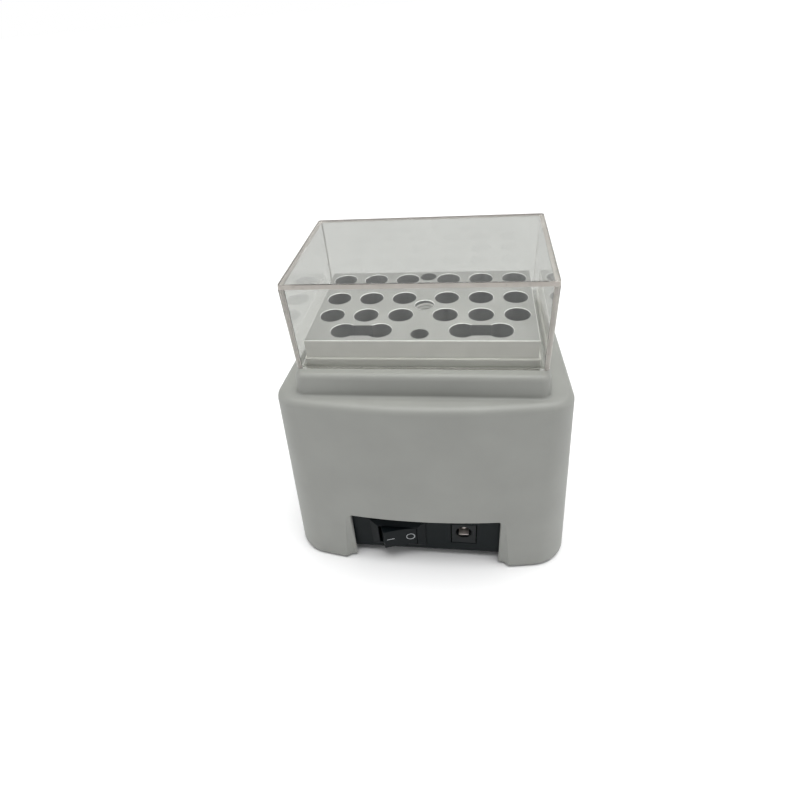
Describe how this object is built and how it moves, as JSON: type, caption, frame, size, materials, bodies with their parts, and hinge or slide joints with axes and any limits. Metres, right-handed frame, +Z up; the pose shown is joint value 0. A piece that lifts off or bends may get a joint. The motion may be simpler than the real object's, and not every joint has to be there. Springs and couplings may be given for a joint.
{
  "type": "mini dry bath",
  "caption": "Small bench heater with a drilled aluminium tube block under a clear box lid, sloping control face, rear rocker switch and DC inlet.",
  "frame": {"origin": "on the table under the middle of the case, at the bottom of the rubber feet", "axes": "+Z up; -Y is the display side, +Y the rear with the switch and the DC inlet; +X to the right seen from the display side"},
  "size_m": [0.1086, 0.1101, 0.1152],
  "materials": {
    "shell": "light grey moulded plastic, fine satin texture",
    "collar": "light grey heat-resistant plastic",
    "base": "dark grey moulded plastic",
    "rubber": "matt black rubber",
    "panel": "fine-textured black plastic",
    "switch_black": "satin black plastic",
    "inlet_black": "black plastic",
    "contact_metal": "plated brass",
    "block_aluminium": "bead-blasted and anodised aluminium",
    "plate_aluminium": "milled aluminium",
    "steel": "zinc-plated steel",
    "brass_post": "turned brass",
    "silicone": "silicone foam and film",
    "board": "green circuit board",
    "component_black": "moulded component bodies",
    "socket_white": "natural nylon",
    "probe": "stainless probe sleeve",
    "lead_red": "silicone-insulated wire",
    "lead_grey": "grey insulated wire",
    "label": "dark polycarbonate label film",
    "window": "clear polished window",
    "screen": "grey-green liquid crystal screen",
    "key": "satin grey key caps",
    "acrylic": "clear cast acrylic, bonded edges"
  },
  "bodies": {
    "case": {"upper_shell": "shell", "block_collar": "collar", "base_plate": "base", "rubber_feet": "rubber", "rear_panel": "panel", "switch_housing": "switch_black", "dc_inlet_body": "inlet_black", "dc_inlet_pin": "contact_metal", "dc_inlet_contacts": "contact_metal", "switch_terminals": "contact_metal", "heat_block": "block_aluminium", "heater_plate": "plate_aluminium", "heat_sink": "plate_aluminium", "case_screws": "steel", "block_screws": "steel", "bracket_screws": "steel", "board_screws": "steel", "display_screws": "steel", "heater_bracket": "steel", "bracket_standoffs": "steel", "board_standoffs": "brass_post", "film_heater": "silicone", "insulating_pad": "silicone", "insulating_jacket": "silicone", "main_board": "board", "display_board": "board", "processor": "component_black", "filter_coil": "component_black", "power_transistor": "component_black", "buzzer": "component_black", "key_switches": "component_black", "thermal_cutout": "component_black", "capacitors": "component_black", "board_sockets": "socket_white", "wire_plugs": "socket_white", "temperature_sensor": "probe", "heater_leads": "lead_red", "switch_leads": "lead_red", "sensor_leads": "lead_grey", "display_ribbon": "lead_grey", "front_label": "label", "display_window": "window", "screen_module": "screen"},
    "lid": {"lid_top": "acrylic", "lid_rear": "acrylic", "lid_front": "acrylic", "lid_left": "acrylic", "lid_right": "acrylic"},
    "rocker": {"switch_rocker": "switch_black"},
    "key_mode": {"key_mode": "key"},
    "key_down": {"key_down": "key"},
    "key_set": {"key_set": "key"},
    "key_up": {"key_up": "key"},
    "key_start": {"key_start": "key"}
  },
  "joints": [
    {"name": "lid_lift", "type": "slide", "parent": "case", "child": "lid", "axis": [0, 0, 1], "range_m": [0, 0.06]},
    {"name": "rocker_tilt", "type": "hinge", "parent": "case", "child": "rocker", "pos_m": [0.01075, 0.0492, 0.0141], "axis": [0, 0, 1], "range_deg": [-28, 0]},
    {"name": "key_mode_press", "type": "slide", "parent": "case", "child": "key_mode", "axis": [0, 0.801, -0.5987], "range_m": [0, 0.0005], "stiffness_N_per_m": 400},
    {"name": "key_down_press", "type": "slide", "parent": "case", "child": "key_down", "axis": [0, 0.801, -0.5987], "range_m": [0, 0.0005], "stiffness_N_per_m": 400},
    {"name": "key_set_press", "type": "slide", "parent": "case", "child": "key_set", "axis": [0, 0.801, -0.5987], "range_m": [0, 0.0005], "stiffness_N_per_m": 400},
    {"name": "key_up_press", "type": "slide", "parent": "case", "child": "key_up", "axis": [0, 0.801, -0.5987], "range_m": [0, 0.0005], "stiffness_N_per_m": 400},
    {"name": "key_start_press", "type": "slide", "parent": "case", "child": "key_start", "axis": [0, 0.801, -0.5987], "range_m": [0, 0.0005], "stiffness_N_per_m": 400}
  ]
}
